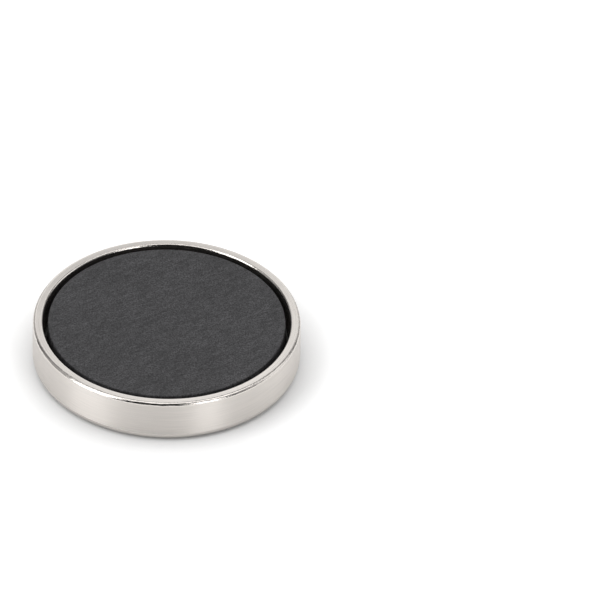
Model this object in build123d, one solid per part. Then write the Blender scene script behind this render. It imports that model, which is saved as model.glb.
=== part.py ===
"""Capped ferrite disc magnet: a ferrite disc bonded into a drawn, nickel-plated steel cup.

Millimetres. The origin is the centre of the cup's closed back, which lies on z = 0.
+Z is the magnet's axis and points out of the open end, where the ferrite disc shows.
"""

import os

from build123d import *

# Cup, drawn from steel sheet
CUP_DIAMETER = 32.0
CUP_HEIGHT = 5.6
WALL_THICKNESS = 1.2
FLOOR_THICKNESS = 1.2
BACK_EDGE_RADIUS = 1.0  # outside, between the closed back and the wall
FLOOR_CORNER_RADIUS = 0.4  # inside, between the floor and the wall
RIM_OUTER_RADIUS = 0.4  # round on the outside of the rim's flat land
RIM_INNER_RADIUS = 0.25  # round on the inside of the rim's flat land

# Ferrite disc
DISC_SIDE_CLEARANCE = 0.62  # open ring between the disc and the wall
DISC_RECESS = 0.2  # pole face below the rim, so that the rim touches first
DISC_EDGE_CHAMFER = 0.12

# Epoxy between the disc and the cup
BOND_THICKNESS = 0.1  # film under the disc
BOND_RISE = 0.7  # fillet squeezed up the ring gap, above the cup's floor

cup_radius = CUP_DIAMETER / 2
bore_radius = cup_radius - WALL_THICKNESS
disc_radius = bore_radius - DISC_SIDE_CLEARANCE
disc_bottom = FLOOR_THICKNESS + BOND_THICKNESS
disc_top = CUP_HEIGHT - DISC_RECESS
bond_top = FLOOR_THICKNESS + BOND_RISE


def circles(part, radius, height):
    """The circular edges of a round part that lie at one radius and height."""
    return [
        edge
        for edge in part.edges().filter_by(GeomType.CIRCLE)
        if abs(edge.radius - radius) < 1e-6 and abs(edge.center().Z - height) < 1e-6
    ]


def standing_cylinder(radius, low, high):
    """A cylinder on the magnet's axis, from one height to another."""
    return Pos(0, 0, low) * Cylinder(
        radius, high - low, align=(Align.CENTER, Align.CENTER, Align.MIN)
    )


def make_bore(top):
    """The space inside the cup from its floor up to a height, with the floor's rounded corner."""
    bore = standing_cylinder(bore_radius, FLOOR_THICKNESS, top)
    return fillet(circles(bore, bore_radius, FLOOR_THICKNESS), FLOOR_CORNER_RADIUS)


def make_cup():
    """The drawn cup: closed back, straight wall and a flat rim that is rounded on both sides."""
    cup = standing_cylinder(cup_radius, 0, CUP_HEIGHT) - make_bore(CUP_HEIGHT)
    cup = fillet(circles(cup, cup_radius, 0), BACK_EDGE_RADIUS)
    cup = fillet(circles(cup, cup_radius, CUP_HEIGHT), RIM_OUTER_RADIUS)
    return fillet(circles(cup, bore_radius, CUP_HEIGHT), RIM_INNER_RADIUS)


def make_ferrite_disc():
    """The ferrite disc, with a small chamfer round both faces."""
    disc = standing_cylinder(disc_radius, disc_bottom, disc_top)
    rims = circles(disc, disc_radius, disc_bottom) + circles(disc, disc_radius, disc_top)
    return chamfer(rims, DISC_EDGE_CHAMFER)


def make_adhesive_bond(disc):
    """The cured epoxy: it fills the cup's floor round and under the disc up to the bond's rise."""
    return make_bore(bond_top) - disc


def write(part, name):
    """One STEP file for one sub-part."""
    part.label = name
    export_step(part, f"parts/{name}.step")


os.makedirs("parts", exist_ok=True)
ferrite_disc = make_ferrite_disc()
write(make_cup(), "cup")
write(ferrite_disc, "ferrite_disc")
write(make_adhesive_bond(ferrite_disc), "adhesive_bond")
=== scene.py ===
"""Capped ferrite disc magnet: a ferrite disc bonded into a drawn, nickel-plated steel cup.

Laid out as an add-on and run as a script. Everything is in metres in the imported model's frame: the closed
back lies on z = 0, +Z is the magnet's axis, and the ferrite pole face looks up.
"""

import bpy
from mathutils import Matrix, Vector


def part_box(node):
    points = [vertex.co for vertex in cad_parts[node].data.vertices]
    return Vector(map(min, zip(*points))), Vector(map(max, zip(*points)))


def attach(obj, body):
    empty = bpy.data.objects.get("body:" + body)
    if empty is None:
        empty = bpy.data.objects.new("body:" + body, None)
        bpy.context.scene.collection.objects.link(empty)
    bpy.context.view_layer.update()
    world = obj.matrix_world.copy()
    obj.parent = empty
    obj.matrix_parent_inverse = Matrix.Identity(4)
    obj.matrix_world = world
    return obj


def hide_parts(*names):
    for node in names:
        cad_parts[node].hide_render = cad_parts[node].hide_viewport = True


bl_info = {
    "name": "Capped ferrite disc magnet",
    "version": (1, 0, 0),
    "blender": (4, 5, 0),
    "location": "3D View > Sidebar > Magnet",
    "description": "Builds a cup magnet with its ground ferrite disc, and a plain studio round it",
    "category": "Add Mesh",
}

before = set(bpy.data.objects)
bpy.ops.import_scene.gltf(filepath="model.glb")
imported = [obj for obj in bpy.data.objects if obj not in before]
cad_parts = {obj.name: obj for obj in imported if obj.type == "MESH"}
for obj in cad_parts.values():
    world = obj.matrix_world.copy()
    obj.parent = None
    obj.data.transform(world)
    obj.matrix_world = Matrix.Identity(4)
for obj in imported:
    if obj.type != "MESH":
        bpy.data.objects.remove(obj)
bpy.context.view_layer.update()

import math

import bmesh
import bpy
from bpy.props import FloatProperty, FloatVectorProperty, IntProperty, PointerProperty
from mathutils import Matrix, Vector

MM = 0.001
BODY = "root"
GRINDING_TURN = math.radians(36)

# The cup's finishes, in the order of its material slots
WALL, LAND, EDGE, BACK, BORE = range(5)

# The floor shows this much white of its own to the camera, less where the magnet stands over it
FLOOR_GLOW = 0.54
GLOW_FADE = 1.5
GLOW_REACH = 5 * MM
FLOOR_DROP = 0.01 * MM

# Lamps, 1 m away: name, bearing, height and lean in degrees, size in metres, radiance
LAMPS = (
    ("softbox_left", -62, 30, 6, (0.62, 1.1), 2.5),
    ("softbox_right", 34, 21, 0, (0.36, 0.85), 3.0),
    ("softbox_side", 102, 24, 0, (0.6, 0.8), 0.7),
    ("softbox_behind", 180, 26, 0, (0.75, 0.95), 0.45),
    ("scrim_over", 180, 86, 0, (1.3, 0.58), 1.2),
)

# Greys of the room by depth, from the front, -1, to the back, 1
ROOM_WALLS = ((-1.0, 0.01), (-0.5, 0.03), (0.0, 0.35), (0.5, 0.06), (1.0, 0.6))
ROOM_CEILING = ((-1.0, 0.01), (-0.6, 0.01), (-0.22, 0.5), (0.3, 0.5), (0.5, 0.2), (0.75, 0.65))

cup_low, cup_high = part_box("cup")
disc_low, disc_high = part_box("ferrite_disc")
bond_low, bond_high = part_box("adhesive_bond")


# ---------------------------------------------------------------- properties


def size_property(name, description, default):
    """A length that a user can change."""
    return FloatProperty(
        name=name, description=description, default=default, min=0, unit="LENGTH", precision=5
    )


def colour_property(name, description, default):
    """A linear colour that a user can change."""
    return FloatVectorProperty(
        name=name, description=description, default=default, min=0, max=1, size=3, subtype="COLOR"
    )


def share_property(name, description, default):
    """A share from 0 to 1 that a user can change."""
    return FloatProperty(
        name=name, description=description, default=default, min=0, max=1, subtype="FACTOR"
    )


class CupSettings(bpy.types.PropertyGroup):
    """Sizes and finish of the drawn steel cup."""

    radius: size_property("Radius", "Outside radius of the wall", cup_high.x)
    height: size_property("Height", "From the closed back to the rim", cup_high.z)
    bore_radius: size_property("Bore radius", "Inside radius of the wall", bond_high.x)
    floor: size_property("Floor", "Thickness of the closed back", bond_low.z)
    back_round: size_property("Back edge", "Round between the back and the wall", 1.0 * MM)
    floor_round: size_property("Floor corner", "Round between the floor and the bore", 0.4 * MM)
    rim_outer_round: size_property("Rim outside", "Round outside the ground land", 0.4 * MM)
    rim_inner_round: size_property("Rim inside", "Round inside the ground land", 0.25 * MM)
    nickel: colour_property("Nickel", "Reflectance of the plating", (0.678, 0.643, 0.608))
    wall_roughness: share_property("Wall roughness", "Satin of the brushed wall", 0.42)
    land_roughness: share_property("Land roughness", "Satin of the ground rim", 0.3)
    edge_roughness: share_property("Edge roughness", "Polish of the rounded edges", 0.1)
    steps: IntProperty(name="Steps", description="Facets round the axis", default=384, min=24)


class DiscSettings(bpy.types.PropertyGroup):
    """Sizes and finish of the ferrite disc."""

    radius: size_property("Radius", "Outside radius of the disc", disc_high.x)
    back: size_property("Back", "Height of the disc's hidden face", disc_low.z)
    face: size_property("Pole face", "Height of the disc's ground face", disc_high.z)
    chamfer: size_property("Chamfer", "Edge break round both faces", 0.12 * MM)
    ferrite: colour_property("Ferrite", "Colour of the ground ceramic", (0.0405, 0.0398, 0.042))
    roughness: share_property("Roughness", "Matt of the ground face", 0.62)
    steps: IntProperty(name="Steps", description="Facets round the axis", default=384, min=24)


class BondSettings(bpy.types.PropertyGroup):
    """Sizes and finish of the cured epoxy."""

    radius: size_property("Radius", "Outside radius, against the bore", bond_high.x)
    bottom: size_property("Bottom", "Height of the cup's floor", bond_low.z)
    top: size_property("Top", "How high the epoxy stands against the metal", bond_high.z)
    film_top: size_property("Film top", "Height of the disc's back", disc_low.z)
    disc_radius: size_property("Disc radius", "Where the epoxy meets the disc", disc_high.x)
    floor_round: size_property("Floor corner", "Round of the cup's floor corner", 0.4 * MM)
    sag: size_property("Sag", "Depth of the hollow between disc and wall", 0.12 * MM)
    epoxy: colour_property("Epoxy", "Colour of the cured epoxy", (0.02, 0.018, 0.016))
    roughness: share_property("Roughness", "Gloss of the cured surface", 0.35)
    steps: IntProperty(name="Steps", description="Facets round the axis", default=192, min=24)


class StageSettings(bpy.types.PropertyGroup):
    """The camera and the studio."""

    elevation: FloatProperty(
        name="Elevation",
        description="How far the camera looks down",
        default=math.radians(38.05),
        subtype="ANGLE",
    )
    roll: FloatProperty(
        name="Roll",
        description="How far the camera leans",
        default=math.radians(1.2),
        subtype="ANGLE",
    )
    distance: size_property("Distance", "From the camera to the magnet", 1.5)
    frame_width: size_property("Frame width", "Width that the view holds at the magnet", 71.57 * MM)
    aim_right: size_property("Aim right", "How far right of the rim the view centres", 15.83 * MM)
    aim_up: size_property("Aim up", "How far above the rim the view centres", 2.81 * MM)
    paper: colour_property("Paper", "Colour of the floor", (0.66, 0.66, 0.66))
    floor_size: size_property("Floor size", "Side of the floor", 6.0)


# -------------------------------------------------------------- mesh helpers


def spun(outline, steps):
    """An open outline of (radius, height) points turned once round the axis, with no ends."""
    bm = bmesh.new()
    points = [bm.verts.new((radius, 0, height)) for radius, height in outline]
    lines = [bm.edges.new(pair) for pair in zip(points, points[1:])]
    bmesh.ops.spin(
        bm, geom=points + lines, axis=(0, 0, 1), cent=(0, 0, 0), angle=math.tau, steps=steps,
        use_merge=True,
    )
    bmesh.ops.remove_doubles(bm, verts=bm.verts, dist=1e-8)
    return bm


def ring(bm, radius, height, tolerance=2e-6):
    """The edges that run round the axis at one radius and height."""
    return [
        edge
        for edge in bm.edges
        if all(
            abs(vert.co.xy.length - radius) < tolerance and abs(vert.co.z - height) < tolerance
            for vert in edge.verts
        )
    ]


def close(bm, radius, height):
    """Fills the flat end that one ring bounds."""
    bmesh.ops.edgeloop_fill(bm, edges=ring(bm, radius, height))


def round_ring(bm, radius, height, size, segments):
    """Rounds the corner at one ring."""
    bmesh.ops.bevel(
        bm, geom=ring(bm, radius, height), offset=size, offset_type="OFFSET", affect="EDGES",
        segments=segments, profile=0.5, material=-1, clamp_overlap=False,
    )


def finish_piece(bm, name, materials, node):
    """Turns a bmesh into a piece that rides on the body and stands for its CAD node."""
    bmesh.ops.recalc_face_normals(bm, faces=bm.faces)
    mesh = bpy.data.meshes.new(name)
    for face in bm.faces:
        face.smooth = True
    bm.to_mesh(mesh)
    bm.free()
    for material in materials:
        mesh.materials.append(material)
    piece = bpy.data.objects.new(name, mesh)
    bpy.context.scene.collection.objects.link(piece)
    weighted = piece.modifiers.new("flat faces stay flat", "WEIGHTED_NORMAL")
    weighted.mode = "FACE_AREA"
    weighted.weight = 100
    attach(piece, BODY)
    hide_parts(node)
    return piece


# ---------------------------------------------------------- material helpers


class Finish:
    """A Principled material under construction."""

    def __init__(self, name):
        self.material = bpy.data.materials.new(name)
        self.material.use_nodes = True
        self.tree = self.material.node_tree
        self.shader = self.tree.nodes["Principled BSDF"]
        self.place = self.tree.nodes.new("ShaderNodeTexCoord").outputs["Object"]

    def node(self, kind, inputs=None, **settings):
        """A node with its settings, and with values or links for its inputs."""
        made = self.tree.nodes.new("ShaderNode" + kind)
        for name, value in settings.items():
            setattr(made, name, value)
        for key, value in (inputs or {}).items():
            if isinstance(value, bpy.types.NodeSocket):
                self.tree.links.new(value, made.inputs[key])
            else:
                made.inputs[key].default_value = value
        return made

    def set(self, **values):
        """Values or links for the shader's own sockets, with _ for each space."""
        for name, value in values.items():
            socket = self.shader.inputs[name.replace("_", " ")]
            if isinstance(value, bpy.types.NodeSocket):
                self.tree.links.new(value, socket)
            else:
                socket.default_value = value

    def grain(self, size, turn=0.0, detail=3.0, rough=0.55, offset=(0, 0, 0)):
        """Noise from about 0 to 1 whose grains are size (x, y, z) metres long, turned about Z."""
        placed = self.node(
            "Mapping",
            {"Vector": self.place, "Location": offset, "Rotation": (0, 0, turn), "Scale": size},
            vector_type="TEXTURE",
        )
        made = self.node(
            "TexNoise",
            {"Vector": placed.outputs[0], "Scale": 1.0, "Detail": detail, "Roughness": rough},
            noise_dimensions="3D",
        )
        return made.outputs["Fac"]

    def turned(self, pitch, reach, offset=0.0, detail=3.0):
        """Noise from about 0 to 1 in rings round Z: pitch metres apart, reach metres long."""
        flat = self.node("VectorMath", {0: self.place, 1: (1, 1, 0)}, operation="MULTIPLY")
        radius = self.node("VectorMath", {0: flat.outputs[0]}, operation="LENGTH").outputs["Value"]
        along = self.node("SeparateXYZ", {0: self.place})
        rings = self.node(
            "CombineXYZ",
            {
                "X": self.math("ADD", self.math("DIVIDE", radius, pitch), offset),
                "Y": self.math("DIVIDE", along.outputs["X"], reach),
                "Z": self.math("DIVIDE", along.outputs["Y"], reach),
            },
        )
        made = self.node(
            "TexNoise", {"Vector": rings.outputs[0], "Scale": 1.0, "Detail": detail, "Roughness": 0.6}
        )
        return made.outputs["Fac"]

    def across(self, way, half_width):
        """From 0 to 1 across the piece, along a direction."""
        reached = self.node("VectorMath", {0: self.place, 1: way}, operation="DOT_PRODUCT")
        return self.spread(reached.outputs["Value"], 0.0, 1.0, -half_width, half_width)

    def spread(self, value, low, high, start=0.3, end=0.7):
        """A value from start to end, spread over low to high and held there."""
        made = self.node(
            "MapRange",
            {"Value": value, "From Min": start, "From Max": end, "To Min": low, "To Max": high},
        )
        return made.outputs["Result"]

    def math(self, operation, first, second=0.0):
        """One sum."""
        return self.node("Math", {0: first, 1: second}, operation=operation).outputs[0]

    def tint(self, colour, *shares):
        """A colour times one or more grey shares."""
        shade = shares[0]
        for share in shares[1:]:
            shade = self.math("MULTIPLY", shade, share)
        made = self.node(
            "VectorMath", {0: (*colour,), "Scale": shade}, operation="SCALE"
        )
        return made.outputs[0]

    def relief(self, *layers):
        """Bump from (height, depth in metres) layers, one on another."""
        normal = None
        for height, depth in layers:
            inputs = {"Strength": 1.0, "Distance": depth, "Height": height}
            if normal is not None:
                inputs["Normal"] = normal
            normal = self.node("Bump", inputs).outputs["Normal"]
        self.set(Normal=normal)


def brushed_wall(cup):
    """Satin nickel, brushed round the wall."""
    finish = Finish("nickel brushed round")
    lines = finish.grain((5 * MM, 5 * MM, 0.11 * MM), detail=4, rough=0.6)
    clouds = finish.grain((7 * MM, 7 * MM, 5 * MM), detail=2, offset=(0.01, 0, 0))
    finish.set(
        Base_Color=finish.tint(
            cup.nickel, finish.spread(lines, 0.95, 1.07), finish.spread(clouds, 0.99, 1.02)
        ),
        Metallic=1.0,
        Roughness=finish.spread(lines, cup.wall_roughness - 0.03, cup.wall_roughness + 0.04),
        Anisotropic=0.85,
        Anisotropic_Rotation=0.25,
        Tangent=finish.node("Tangent", direction_type="RADIAL", axis="Z").outputs[0],
    )
    finish.relief((lines, 0.7e-6), (clouds, 6e-6))
    return finish.material


def turned_land(cup):
    """Nickel over a turned flat: fine rings, and painted reflection that lightens it towards the front
    right.
    """
    finish = Finish("nickel turned flat")
    rings = finish.turned(0.07 * MM, 5 * MM)
    # Random blotches of lighter and darker nickel, which also stand in for the turned surface's sheen:
    # partly painted sheen.
    patches_and_sheen = finish.grain((2.2 * MM, 2.2 * MM, 2.2 * MM), detail=2)
    # Painted reflection: the land's colour lightens towards the front right and stands in for the lamps'
    # reflection on the flat.
    painted_reflection = finish.across((0.45, -0.89, 0), cup.radius)
    finish.set(
        Base_Color=finish.tint(
            cup.nickel,
            finish.spread(rings, 0.9, 1.06),
            finish.spread(patches_and_sheen, 0.96, 1.03),
            finish.spread(painted_reflection, 0.84, 1.14, 0.0, 1.0),
        ),
        Metallic=1.0,
        Roughness=finish.spread(rings, cup.land_roughness - 0.06, cup.land_roughness + 0.06),
    )
    finish.relief((rings, 1.5e-6), (patches_and_sheen, 4e-6))
    return finish.material


def bright_edge(cup):
    """Tumbled and plated edge: nearly a mirror, with small dings, and painted shade that darkens it near
    the floor.
    """
    finish = Finish("nickel bright edge")
    dings = finish.grain((0.45 * MM, 0.45 * MM, 0.12 * MM), detail=3, rough=0.6)
    height = finish.node("SeparateXYZ", {0: finish.place}).outputs["Z"]
    # Painted shade: the colour darkens down to the floor, where the contact shadow falls on the back edge.
    painted_contact_shade = finish.spread(height, 0.82, 1.0, 0.3 * MM, 1.5 * MM)
    finish.set(
        Base_Color=finish.tint(cup.nickel, finish.spread(dings, 0.94, 1.04), painted_contact_shade),
        Metallic=1.0,
        Roughness=finish.spread(dings, cup.edge_roughness - 0.03, cup.edge_roughness + 0.05),
    )
    fewer_low_down = finish.spread(height, 0.25, 1.0, 1.5 * MM, 4.0 * MM)
    finish.relief((finish.math("MULTIPLY", dings, fewer_low_down), 26e-6))
    return finish.material


def satin_back(cup):
    """The closed back: satin nickel with a fine, faint straight grain."""
    finish = Finish("nickel satin back")
    marks = finish.grain((2.5 * MM, 0.12 * MM, 2.5 * MM), GRINDING_TURN, detail=4, rough=0.6)
    speckle = finish.grain((0.15 * MM, 0.15 * MM, 0.15 * MM), detail=2)
    finish.set(
        Base_Color=finish.tint(
            cup.nickel, finish.spread(marks, 0.87, 1.07), finish.spread(speckle, 0.9, 1.07)
        ),
        Metallic=1.0,
        Roughness=finish.spread(marks, 0.3, 0.4),
    )
    finish.relief((marks, 3e-6), (speckle, 2.5e-6))
    return finish.material


def dull_bore(cup):
    """The inside of the cup, as it was drawn and plated."""
    finish = Finish("nickel drawn bore")
    lines = finish.grain((1.5 * MM, 1.5 * MM, 0.1 * MM), detail=3)
    finish.set(
        Base_Color=finish.tint(cup.nickel, finish.spread(lines, 0.8, 0.95)),
        Metallic=1.0,
        Roughness=finish.spread(lines, 0.25, 0.38),
    )
    finish.relief((lines, 2e-6))
    return finish.material


def ground_ferrite(disc):
    """Dark ceramic, ground matt: short slaty streaks along the grinding, grit and faint clouds."""
    finish = Finish("ferrite ground matt")
    slate = finish.grain((1.6 * MM, 0.5 * MM, 1.6 * MM), GRINDING_TURN, detail=3, rough=0.6)
    flecks = finish.grain((0.7 * MM, 0.26 * MM, 0.7 * MM), GRINDING_TURN, detail=2, offset=(0.02, 0, 0))
    grit = finish.grain((0.17 * MM, 0.17 * MM, 0.17 * MM), detail=1)
    clouds = finish.grain((8 * MM, 4 * MM, 8 * MM), GRINDING_TURN, detail=2)
    finish.set(
        Base_Color=finish.tint(
            disc.ferrite,
            finish.spread(slate, 0.75, 1.27),
            finish.spread(flecks, 0.8, 1.24),
            finish.spread(grit, 0.42, 1.78),
            finish.spread(clouds, 0.92, 1.09),
        ),
        Roughness=finish.spread(flecks, disc.roughness - 0.1, disc.roughness + 0.08),
        Specular_IOR_Level=0.3,
    )
    finish.relief((slate, 14e-6), (flecks, 8e-6), (grit, 5e-6))
    return finish.material


def cured_epoxy(bond):
    """Dark epoxy, set with a smooth and slightly dimpled skin."""
    finish = Finish("epoxy cured")
    dimples = finish.grain((0.6 * MM, 0.6 * MM, 0.6 * MM), detail=3)
    finish.set(
        Base_Color=finish.tint(bond.epoxy, finish.spread(dimples, 0.8, 1.3)),
        Roughness=finish.spread(dimples, bond.roughness - 0.08, bond.roughness + 0.12),
    )
    finish.relief((dimples, 25e-6))
    return finish.material


def floor_paper(stage):
    """White paper that shows plain white, and still takes the magnet's shadow."""
    finish = Finish("paper white")
    fibres = finish.grain((0.4 * MM, 0.4 * MM, 0.4 * MM), detail=2)
    finish.set(
        Base_Color=finish.tint(stage.paper, finish.spread(fibres, 0.995, 1.005)),
        Roughness=0.9,
        Specular_IOR_Level=0.0,
    )
    path = finish.node("LightPath")
    seen = finish.math("MAXIMUM", path.outputs["Is Camera Ray"], path.outputs["Is Glossy Ray"])
    seen = finish.math("MAXIMUM", seen, path.outputs["Is Transmission Ray"])
    open_sky = finish.node("AmbientOcclusion", {"Distance": GLOW_REACH}, samples=16).outputs["AO"]
    glow = finish.math("MULTIPLY", finish.math("POWER", open_sky, GLOW_FADE), FLOOR_GLOW)
    finish.set(
        Emission_Color=(1, 1, 1, 1), Emission_Strength=finish.math("MULTIPLY", seen, glow)
    )
    return finish.material


# ------------------------------------------------------------------ operators


class MAGNET_OT_cup(bpy.types.Operator):
    """Draws the steel cup: closed back, wall, ground rim and bore"""

    bl_idname = "magnet.cup"
    bl_label = "Drawn cup"

    def execute(self, context):
        cup = context.scene.magnet_cup
        bm = spun(
            [
                (cup.radius, 0),
                (cup.radius, cup.height),
                (cup.bore_radius, cup.height),
                (cup.bore_radius, cup.floor),
            ],
            cup.steps,
        )
        close(bm, cup.radius, 0)
        close(bm, cup.bore_radius, cup.floor)
        round_ring(bm, cup.radius, 0, cup.back_round, 12)
        round_ring(bm, cup.radius, cup.height, cup.rim_outer_round, 10)
        round_ring(bm, cup.bore_radius, cup.height, cup.rim_inner_round, 10)
        round_ring(bm, cup.bore_radius, cup.floor, cup.floor_round, 6)
        bmesh.ops.recalc_face_normals(bm, faces=bm.faces)
        for face in bm.faces:
            face.material_index = self.finish_of(face, cup)
        materials = [
            brushed_wall(cup), turned_land(cup), bright_edge(cup), satin_back(cup), dull_bore(cup)
        ]
        finish_piece(bm, "drawn_cup", materials, "cup")
        return {"FINISHED"}

    def finish_of(self, face, cup):
        """Which finish a face takes."""
        middle = face.calc_center_median()
        if abs(face.normal.z) < 0.01:
            return WALL if middle.xy.length > cup.bore_radius + 0.1 * MM else BORE
        if face.normal.z < -0.999:
            return BACK
        if middle.z < cup.height / 2:
            return BORE if face.normal.z > 0 else EDGE
        return LAND if face.normal.z > 0.999 else EDGE


class MAGNET_OT_disc(bpy.types.Operator):
    """Makes the ferrite disc, with a small edge break round both faces"""

    bl_idname = "magnet.disc"
    bl_label = "Ferrite disc"

    def execute(self, context):
        disc = context.scene.magnet_disc
        bm = spun([(disc.radius, disc.back), (disc.radius, disc.face)], disc.steps)
        for height in (disc.back, disc.face):
            close(bm, disc.radius, height)
            round_ring(bm, disc.radius, height, disc.chamfer, 3)
        finish_piece(bm, "ferrite_pole_disc", [ground_ferrite(disc)], "ferrite_disc")
        return {"FINISHED"}


class MAGNET_OT_bond(bpy.types.Operator):
    """Makes the epoxy: a film under the disc and a sagging bead up the ring gap"""

    bl_idname = "magnet.bond"
    bl_label = "Epoxy bond"

    def execute(self, context):
        bond = context.scene.magnet_bond
        gap = bond.radius - bond.disc_radius
        bead = [
            (bond.radius - gap * share, bond.top - 4 * bond.sag * share * (1 - share))
            for share in (0, 0.125, 0.25, 0.375, 0.5, 0.625, 0.75, 0.875, 1)
        ]
        outline = [(bond.radius, bond.bottom), *bead, (bond.disc_radius, bond.film_top)]
        bm = spun(outline, bond.steps)
        close(bm, bond.radius, bond.bottom)
        close(bm, bond.disc_radius, bond.film_top)
        round_ring(bm, bond.radius, bond.bottom, bond.floor_round, 6)
        finish_piece(bm, "epoxy_bead", [cured_epoxy(bond)], "adhesive_bond")
        return {"FINISHED"}


class MAGNET_OT_stage(bpy.types.Operator):
    """Sets up the paper floor, the soft lights and the camera"""

    bl_idname = "magnet.stage"
    bl_label = "Studio"

    def execute(self, context):
        stage = context.scene.magnet_stage
        self.lay_floor(stage)
        self.hang_lamps()
        self.light_world()
        self.set_camera(stage)
        context.scene.view_settings.view_transform = "Standard"
        return {"FINISHED"}

    def lay_floor(self, stage):
        """A sheet of paper just under the magnet."""
        bm = bmesh.new()
        bmesh.ops.create_grid(
            bm, x_segments=8, y_segments=8, size=stage.floor_size / 2,
            matrix=Matrix.Translation((0, 0, -FLOOR_DROP)),
        )
        mesh = bpy.data.meshes.new("paper_floor")
        bm.to_mesh(mesh)
        bm.free()
        mesh.materials.append(floor_paper(stage))
        floor = bpy.data.objects.new("paper_floor", mesh)
        bpy.context.scene.collection.objects.link(floor)

    def hang_lamps(self):
        """Softboxes to the left, the right, the side and behind, and a scrim overhead."""
        for name, bearing, height, lean, size, radiance in LAMPS:
            place = self.direction(math.radians(bearing), math.radians(height))
            lamp = bpy.data.lights.new(name, "AREA")
            lamp.shape = "RECTANGLE"
            lamp.size, lamp.size_y = size
            lamp.energy = radiance * math.pi * size[0] * size[1]
            lit = bpy.data.objects.new(name, lamp)
            level = place.to_track_quat("Z", "Y").to_matrix()
            lit.rotation_euler = (level @ Matrix.Rotation(math.radians(lean), 3, "Z")).to_euler()
            lit.location = place
            lit.visible_camera = False
            bpy.context.scene.collection.objects.link(lit)

    def direction(self, bearing, height):
        """A way from the magnet: bearing from the front towards +X, and height above the floor."""
        flat = math.cos(height)
        return Vector((flat * math.sin(bearing), -flat * math.cos(bearing), math.sin(height)))

    def light_world(self):
        """White to the camera. What lights the magnet is a dim room, darkest round the camera."""
        world = bpy.data.worlds.new("studio room")
        world.use_nodes = True
        bpy.context.scene.world = world
        tree = world.node_tree
        nodes, links = tree.nodes, tree.links
        room = nodes["Background"]
        way = nodes.new("ShaderNodeTexCoord")
        apart = nodes.new("ShaderNodeSeparateXYZ")
        links.new(way.outputs["Generated"], apart.inputs[0])
        depth = nodes.new("ShaderNodeMapRange")
        depth.inputs["From Min"].default_value = -1
        links.new(apart.outputs["Y"], depth.inputs["Value"])
        height = nodes.new("ShaderNodeMapRange")
        height.interpolation_type = "SMOOTHSTEP"
        height.inputs["From Min"].default_value = 0.08
        height.inputs["From Max"].default_value = 0.4
        links.new(apart.outputs["Z"], height.inputs["Value"])
        walls = self.shades(tree, ROOM_WALLS)
        ceiling = self.shades(tree, ROOM_CEILING)
        whole = nodes.new("ShaderNodeMixRGB")
        for ramp in (walls, ceiling):
            links.new(depth.outputs[0], ramp.inputs["Fac"])
        links.new(height.outputs[0], whole.inputs["Fac"])
        links.new(walls.outputs["Color"], whole.inputs["Color1"])
        links.new(ceiling.outputs["Color"], whole.inputs["Color2"])
        links.new(whole.outputs["Color"], room.inputs["Color"])
        white = nodes.new("ShaderNodeBackground")
        white.inputs["Color"].default_value = (1, 1, 1, 1)
        mixed = nodes.new("ShaderNodeMixShader")
        path = nodes.new("ShaderNodeLightPath")
        links.new(path.outputs["Is Camera Ray"], mixed.inputs[0])
        links.new(room.outputs[0], mixed.inputs[1])
        links.new(white.outputs[0], mixed.inputs[2])
        links.new(mixed.outputs[0], nodes["World Output"].inputs["Surface"])

    def shades(self, tree, greys):
        """A ramp of greys from the front of the room, -1, to its back, 1."""
        made = tree.nodes.new("ShaderNodeValToRGB")
        made.color_ramp.interpolation = "EASE"
        elements = made.color_ramp.elements
        elements.remove(elements[1])
        elements[0].position = 0
        for y, grey in greys[1:]:
            elements.new((y + 1) / 2)
        for element, (y, grey) in zip(elements, greys):
            element.color = (grey, grey, grey, 1)
        return made

    def set_camera(self, stage):
        """A long lens, looking down at the rim from in front."""
        up = Vector((0, math.sin(stage.elevation), math.cos(stage.elevation)))
        back = Vector((0, -math.cos(stage.elevation), math.sin(stage.elevation)))
        aim = Vector((stage.aim_right, 0, cup_high.z)) + up * stage.aim_up
        lens = bpy.data.cameras.new("long_lens")
        lens.sensor_width = 36.0
        lens.lens = lens.sensor_width * stage.distance / stage.frame_width
        camera = bpy.data.objects.new("camera", lens)
        camera.location = aim + back * stage.distance
        level = back.to_track_quat("Z", "Y").to_matrix()
        camera.rotation_euler = (level @ Matrix.Rotation(stage.roll, 3, "Z")).to_euler()
        bpy.context.scene.collection.objects.link(camera)
        bpy.context.scene.camera = camera


class MAGNET_PT_sidebar(bpy.types.Panel):
    """Sizes, finishes and builders"""

    bl_idname = "MAGNET_PT_sidebar"
    bl_label = "Disc magnet"
    bl_space_type = "VIEW_3D"
    bl_region_type = "UI"
    bl_category = "Magnet"

    def draw(self, context):
        for name, operator in BUILDERS:
            settings = getattr(context.scene, name)
            box = self.layout.box()
            for key in settings.bl_rna.properties.keys():
                if key not in ("rna_type", "name"):
                    box.prop(settings, key)
            box.operator(operator.bl_idname)


SETTINGS = {
    "magnet_cup": CupSettings,
    "magnet_disc": DiscSettings,
    "magnet_bond": BondSettings,
    "magnet_stage": StageSettings,
}
BUILDERS = (
    ("magnet_cup", MAGNET_OT_cup),
    ("magnet_disc", MAGNET_OT_disc),
    ("magnet_bond", MAGNET_OT_bond),
    ("magnet_stage", MAGNET_OT_stage),
)
CLASSES = (*SETTINGS.values(), *(operator for _, operator in BUILDERS), MAGNET_PT_sidebar)


def register():
    for kind in CLASSES:
        bpy.utils.register_class(kind)
    for name, kind in SETTINGS.items():
        setattr(bpy.types.Scene, name, PointerProperty(type=kind))


def unregister():
    for name in SETTINGS:
        delattr(bpy.types.Scene, name)
    for kind in reversed(CLASSES):
        bpy.utils.unregister_class(kind)


def main():
    """Builds the magnet and its studio."""
    register()
    bpy.ops.magnet.cup()
    bpy.ops.magnet.disc()
    bpy.ops.magnet.bond()
    bpy.ops.magnet.stage()


if __name__ == "__main__":
    main()
